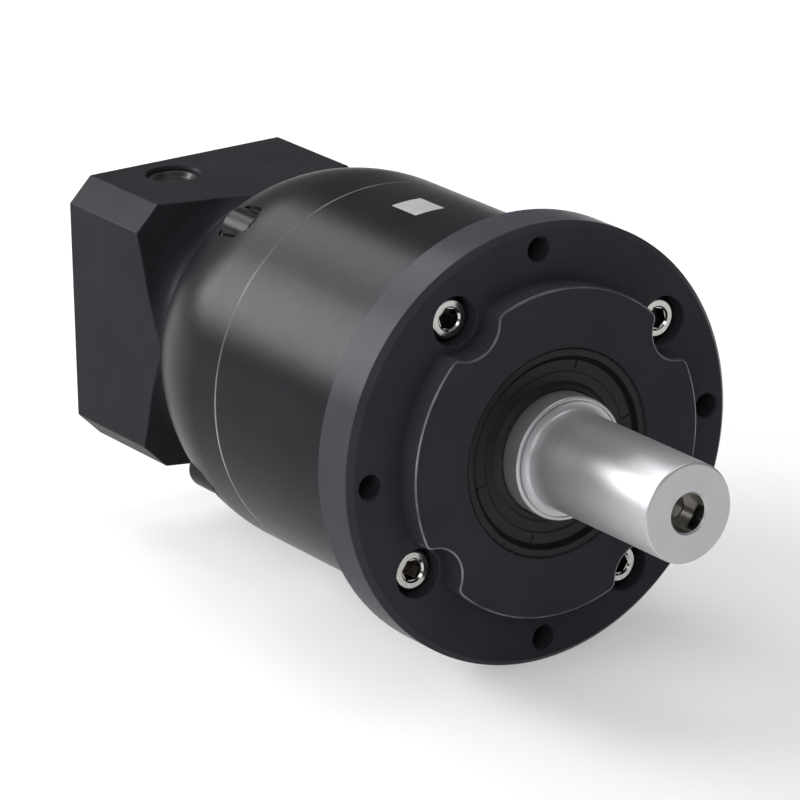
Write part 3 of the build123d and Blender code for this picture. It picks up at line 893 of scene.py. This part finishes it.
@dataclass
class ClampScrews:
    """Four long socket screws with plated heads and threaded tips."""

    seat: float = -7.0
    head_radius: float = 4.25
    head_height: float = 5.0
    radius: float = 2.5
    tip: float = -71.8
    flats: float = 4.0
    socket_depth: float = 2.6
    pitch: float = 0.8
    threads: int = 6
    socket_turns: tuple[float, ...] = (8.0, 41.0, 22.0, 50.0)

    def screw(self) -> bmesh.types.BMesh:
        """One screw about the gearbox axis."""
        top = self.seat + self.head_height
        thread: Profile = []
        for crest in range(self.threads):
            front = self.tip + 0.6 + self.pitch * (self.threads - crest)
            thread += [(front, self.radius), (front - self.pitch / 2, self.radius - 0.4)]
        blank = turned([
            (top, 0.0), (top, self.head_radius - 0.75), (top - 0.22, self.head_radius - 0.3),
            (top - 0.75, self.head_radius), (self.seat, self.head_radius), (self.seat, self.radius),
            *thread, (self.tip + 0.6, self.radius), (self.tip, self.radius - 0.6), (self.tip, 0.0)],
            steps=SMALL_STEPS)
        floor = top - self.socket_depth
        across = self.flats / math.sqrt(3.0)
        mouth = turned([(top + 0.5, 0.0), (top + 0.5, across + 0.75), (top - 0.35, across - 0.1),
                        (top - 0.35, 0.0)], steps=SMALL_STEPS)
        point = turned([(floor + 0.4, 0.0), (floor + 0.4, self.flats / 2 - 0.2), (floor - 0.8, 0.0)],
                       steps=POINT_STEPS)
        blank = carved(blank, Carve.AWAY, [hexagon_bar(floor, top + 1.0, self.flats)])
        return carved(carved(blank, Carve.AWAY, [mouth]), Carve.AWAY, [point])

    def build(self, finishes: Finishes) -> None:
        """Builds and dresses the four screws.

        Args:
            finishes: The finishes.
        """
        screws = []
        for angle, socket_turn in zip(CLAMP_CIRCLE.angles(), self.socket_turns):
            screw = moved(self.screw(), (0.0, 0.0, 0.0), socket_turn)
            screws.append(moved(screw, (0.0, CLAMP_CIRCLE.radius, 0.0), angle))
        piece = finished("clamping_cap_screws", joined(screws), finishes.of(Slot.SCREW), Body.HOUSING,
                         ("clamp_screws",))
        # The inside of each socket gets the dark finish, painted shade.
        mark_faces(piece, finishes.socket, self.in_socket)

    def in_socket(self, centre: Vector, normal: Vector) -> bool:
        """Whether a face lies inside one of the sockets."""
        top = self.seat + self.head_height
        if not top - self.socket_depth - 1.0 < centre.x < top - 0.36:
            return False
        places = ((math.cos(math.radians(angle)), math.sin(math.radians(angle)))
                  for angle in CLAMP_CIRCLE.angles())
        return any(math.hypot(centre.y - CLAMP_CIRCLE.radius * y, centre.z - CLAMP_CIRCLE.radius * z)
                   < self.flats / math.sqrt(3.0) for y, z in places)


@dataclass
class OutputShaft:
    """Output shaft in one piece with the front carrier plate and its three posts."""

    end: float = 48.0
    radius: float = 10.0
    shoulder: float = 9.4
    shoulder_radius: float = 12.5
    bearing_back: float = -17.4
    plate_front: float = -19.6
    plate_back: float = -25.6
    plate_radius: float = 24.5
    post_back: float = -43.9
    posts: ScrewCircle = ScrewCircle(18.0, 30.0, 3)
    pins: ScrewCircle = ScrewCircle(18.0, 90.0, 3)
    fillet_steps: int = 6
    centre_radius: float = 3.9

    def shoulder_profile(self) -> Profile:
        """The fillet that runs out of the shaft, a fine groove and the rounded ring."""
        face = self.shoulder
        points = [(face + 0.9, self.radius)]
        for step in range(1, self.fillet_steps + 1):
            angle = math.pi / 2.0 * step / self.fillet_steps
            points.append((face + 0.9 - 0.9 * math.sin(angle), self.radius + 1.3 - 1.3 * math.cos(angle)))
        points += [(face, 11.55), (face - 0.35, 11.6), (face - 0.35, 11.75), (face, 11.8)]
        for step in range(self.fillet_steps + 1):
            angle = math.pi / 2.0 * step / self.fillet_steps
            points.append((face - 0.5 + 0.5 * math.cos(angle), 12.0 + 0.5 * math.sin(angle)))
        return points

    def build(self, finishes: Finishes) -> None:
        """Builds and dresses the shaft.

        Args:
            finishes: The finishes.
        """
        end = self.end
        blank = turned([
            (end, 0.0), (end, self.radius - 0.5), (end - 0.12, self.radius - 0.25),
            (end - 0.5, self.radius), *self.shoulder_profile(),
            (self.bearing_back, self.shoulder_radius), (self.bearing_back, 15.5), (self.plate_front, 15.5),
            (self.plate_front, self.plate_radius), (self.plate_back, self.plate_radius),
            (self.plate_back, 0.0)], steps=SHAFT_STEPS)
        posts = self.posts.copies([
            (self.plate_back + 1.0, 0.0), (self.plate_back + 1.0, 5.5), (self.post_back, 5.5),
            (self.post_back, 0.0)])
        blank = carved(blank, Carve.JOIN, posts)
        bores = self.posts.copies([
            (self.post_back + 12.0, 0.0), (self.post_back + 12.0, 2.02), (self.post_back - 1.0, 2.02),
            (self.post_back - 1.0, 0.0)])
        pins = self.pins.copies([
            (self.plate_front + 1.0, 0.0), (self.plate_front + 1.0, 4.02), (self.plate_back - 1.0, 4.02),
            (self.plate_back - 1.0, 0.0)])
        centre: Profile = [(end + 1.0, 0.0), (end + 1.0, self.centre_radius + 1.3),
                           (end - 0.4, self.centre_radius), (end - 5.0, self.centre_radius),
                           (end - 5.0, 2.5)]
        for crest in range(8):
            front = end - 5.4 - 0.8 * crest
            centre += [(front - 0.4, 2.85), (front - 0.8, 2.5)]
        centre += [(end - 23.0, 2.5), (end - 24.4, 0.0)]
        blank = carved(blank, Carve.AWAY, [turned(centre, steps=SMALL_STEPS), *bores, *pins])
        piece = finished("output_shaft_and_plate", blank, finishes.of(Slot.SHAFT), Body.CARRIER,
                         ("output_shaft",))
        # The inside of the centre hole gets the darker finish, painted shade.
        mark_faces(piece, finishes.bore, self.in_centre_hole)

    def in_centre_hole(self, centre: Vector, normal: Vector) -> bool:
        """Whether a face lies inside the centre hole, behind its eased mouth."""
        return (self.end - 25.0 < centre.x < self.end - 0.45
                and math.hypot(centre.y, centre.z) < self.centre_radius + 0.05)


@dataclass
class ShaftSeal:
    """Rubber shaft seal with a raised rim, a sunk face with moulded ticks and a dust lip."""

    front: float = 5.1
    back: float = -1.9
    rim: float = 20.98
    bore: float = 12.54
    ticks: int = 6
    tick: Triple = (0.6, 2.0, 0.35)
    tick_round: float = 0.1

    def build(self, finishes: Finishes) -> None:
        """Builds and dresses the seal.

        Args:
            finishes: The finishes.
        """
        front = self.front
        face = front - 1.1
        ring = turned([
            (front, self.rim - 1.4), (front, self.rim), (self.back, self.rim), (self.back, self.bore),
            (front - 0.3, self.bore), (front - 0.1, self.bore + 0.5), (front - 0.5, self.bore + 1.2),
            (face, self.bore + 1.7), (face, self.bore + 3.6), (face + 0.25, self.bore + 3.9),
            (face + 0.25, self.rim - 2.4), (face - 0.2, self.rim - 2.0)], 0.15, closed=True)
        shapes = [ring]
        for place in range(self.ticks):
            bar = box(self.tick)
            soften(bar, bar.edges[:], self.tick_round, 2)
            shapes.append(moved(bar, (face + 0.15, self.rim - 3.2, 0.0), 12.0 + 360.0 * place / self.ticks))
        finished("rubber_shaft_seal", joined(shapes), finishes.of(Slot.SEAL), Body.HOUSING,
                 ("output_seal",))


@dataclass
class Barrel:
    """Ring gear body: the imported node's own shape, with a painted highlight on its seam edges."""

    def build(self, finishes: Finishes) -> None:
        """Builds and dresses the barrel from a merged copy of its node.

        Args:
            finishes: The finishes.
        """
        bm = bmesh.new()
        bm.from_mesh(frame["nodes"]["ring_gear_body"].data)
        bmesh.ops.remove_doubles(bm, verts=bm.verts[:], dist=MERGE_DISTANCE * MM)
        piece = finished("toothed_barrel", bm, finishes.of(Slot.HOUSING), Body.HOUSING,
                         ("ring_gear_body",), scale=1.0)
        # The seam chamfers get the pale finish, a painted highlight.
        mark_faces(piece, finishes.seam_edge_highlight, on_seam_edge)


@dataclass
class BlankPatch:
    """Pale blank patch on top of the barrel."""

    stations: tuple[float, float] = (-44.0, -35.5)
    radius: float = 39.53
    angles: tuple[float, float] = (87.0, 97.0)
    thickness: float = 0.06

    def build(self, finishes: Finishes) -> None:
        """Builds and dresses the patch.

        Args:
            finishes: The finishes.
        """
        bm = rounded_chain([(x, self.radius) for x in self.stations], 0.0)
        moved(bm, (0.0, 0.0, 0.0), self.angles[0])
        bmesh.ops.spin(bm, geom=bm.verts[:] + bm.edges[:], cent=(0.0, 0.0, 0.0), axis=(1.0, 0.0, 0.0),
                       angle=math.radians(self.angles[1] - self.angles[0]), steps=8)
        bmesh.ops.recalc_face_normals(bm, faces=bm.faces[:])
        bmesh.ops.solidify(bm, geom=bm.faces[:], thickness=self.thickness)
        finished("blank_patch", bm, finishes.blank_patch, Body.HOUSING)


def on_seam_edge(centre: Vector, normal: Vector) -> bool:
    """Whether a face lies on a small chamfer at a seam of the barrel."""
    return abs(math.hypot(centre.y, centre.z) - BARREL_RADIUS) < 0.4 and 0.4 < abs(normal.x) < 0.9


def mark_faces(piece: bpy.types.Object, material: bpy.types.Material, chosen: FaceTest) -> None:
    """Gives some faces of a piece a second finish.

    Args:
        piece: The piece.
        material: The second finish.
        chosen: The test of a face's centre in millimetres and its normal.
    """
    piece.data.materials.append(material)
    for face in piece.data.polygons:
        if chosen(face.center / MM, face.normal):
            face.material_index = 1


@dataclass
class Studio:
    """Pale floor, soft lamps and the camera at the photograph's viewing angle."""

    azimuth: float = -33.464
    elevation: float = 18.881
    roll: float = -1.191
    distance: float = 1.108803
    lens: float = 256.2268
    sensor: float = 36.0
    pan: float = 0.027638
    tilt: float = -0.008988
    floor_height: float = -0.0452
    surroundings: float = 0.26
    floor_glow: float = 0.40

    def place_camera(self) -> None:
        """Stands the camera where the photograph was taken."""
        turn = math.radians(self.azimuth)
        lift = math.radians(self.elevation)
        lean = math.radians(self.roll)
        back = Vector((math.cos(lift) * math.cos(turn), math.cos(lift) * math.sin(turn), math.sin(lift)))
        level = Vector((-math.sin(turn), math.cos(turn), 0.0))
        high = back.cross(level)
        right = math.cos(lean) * level + math.sin(lean) * high
        up = math.cos(lean) * high - math.sin(lean) * level
        camera = bpy.data.cameras.new("camera")
        camera.sensor_width = self.sensor
        camera.lens = self.lens
        camera.clip_end = 20.0
        holder = bpy.data.objects.new("camera", camera)
        axes = Matrix((right, up, back)).transposed().to_4x4()
        place = self.distance * back - self.pan * right - self.tilt * up
        holder.matrix_world = Matrix.Translation(place) @ axes
        bpy.context.scene.collection.objects.link(holder)
        bpy.context.scene.camera = holder

    def lamp(self, name: str, direction: Triple, distance: float, size: tuple[float, float],
             radiance: float) -> None:
        """Adds a soft rectangular lamp that faces the gearbox.

        Args:
            name: The lamp's name.
            direction: The direction from the gearbox to the lamp.
            distance: Its distance in metres.
            size: Its width and height.
            radiance: How bright its face is.
        """
        aim = Vector((-0.04, 0.0, 0.0))
        place = aim + distance * Vector(direction).normalized()
        light = bpy.data.lights.new(name, "AREA")
        light.shape = "RECTANGLE"
        light.size, light.size_y = size
        light.energy = radiance * math.pi * size[0] * size[1]
        holder = bpy.data.objects.new(name, light)
        facing = (aim - place).to_track_quat("-Z", "Y")
        holder.matrix_world = Matrix.Translation(place) @ facing.to_matrix().to_4x4()
        bpy.context.scene.collection.objects.link(holder)

    def seen_directly(self, tree: bpy.types.NodeTree) -> bpy.types.NodeSocket:
        """A factor of 1 for camera, glossy and transmission rays, and 0 for the rest.

        Args:
            tree: The node tree that asks.

        Returns:
            The factor.
        """
        path = tree.nodes.new("ShaderNodeLightPath")
        factor = path.outputs["Is Camera Ray"]
        for other in ("Is Glossy Ray", "Is Transmission Ray"):
            either = tree.nodes.new("ShaderNodeMath")
            either.operation = "MAXIMUM"
            tree.links.new(factor, either.inputs[0])
            tree.links.new(path.outputs[other], either.inputs[1])
            factor = either.outputs[0]
        return factor

    def light_world(self) -> None:
        """Even grey surroundings, the walls of the studio."""
        world = bpy.data.worlds.new("studio")
        bpy.context.scene.world = world
        world.use_nodes = True
        ground = world.node_tree.nodes["Background"]
        ground.inputs["Color"].default_value = (1.0, 1.0, 1.0, 1.0)
        ground.inputs["Strength"].default_value = self.surroundings

    def lay_floor(self) -> None:
        """A white floor under the flange's rim that keeps the gearbox's shadow."""
        bm = bmesh.new()
        bmesh.ops.create_grid(bm, x_segments=1, y_segments=1, size=4.0)
        bmesh.ops.translate(bm, verts=bm.verts[:], vec=(0.0, 0.0, self.floor_height))
        floor = as_object("floor", bm)
        maker = NodeMaker("white floor")
        mottle = maker.noise(maker.place, 0.3, 2.0)
        maker.colours(mottle, (0.56, 0.56, 0.56), (0.58, 0.58, 0.58))
        maker.shader.inputs["Roughness"].default_value = 0.9
        maker.shader.inputs["Specular IOR Level"].default_value = 0.1
        maker.shader.inputs["Emission Color"].default_value = (1.0, 1.0, 1.0, 1.0)
        strength = maker.add("ShaderNodeMath", operation="MULTIPLY")
        strength.inputs[1].default_value = self.floor_glow
        maker.link(self.seen_directly(maker.tree), strength.inputs[0])
        maker.link(strength.outputs[0], maker.shader.inputs["Emission Strength"])
        floor.data.materials.append(maker.material)

    def build(self) -> None:
        """Sets up the whole studio."""
        bpy.context.scene.view_settings.view_transform = "Standard"
        self.place_camera()
        self.light_world()
        self.lay_floor()
        self.lamp("key behind left", (-0.79, -0.52, 0.40), 1.3, (0.6, 0.6), 16.0)
        self.lamp("behind high", (-0.79, -0.06, 0.64), 1.3, (0.5, 0.4), 8.0)
        self.lamp("overhead", (-0.10, 0.15, 1.0), 1.4, (0.9, 0.7), 2.2)
        self.lamp("left side", (-0.20, -0.84, 0.50), 1.1, (0.6, 0.5), 3.0)
        self.lamp("front left", (0.75, -0.65, 0.55), 1.6, (0.6, 0.6), 2.0)


def main() -> None:
    """Builds the studio, then dresses the gearbox piece by piece."""
    logging.basicConfig(level=logging.INFO)
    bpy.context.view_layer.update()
    Studio().build()
    finishes = Finishes()
    finishes.dress_nodes(frame["nodes"])
    pieces = (FlangeHousing(), Barrel(), RearHousing(), MotorAdapter(), AccessPlug(), ClampScrews(),
              OutputShaft(), ShaftSeal(), BlankPatch())
    for piece in pieces:
        piece.build(finishes)


if __name__ == "__main__":
    main()
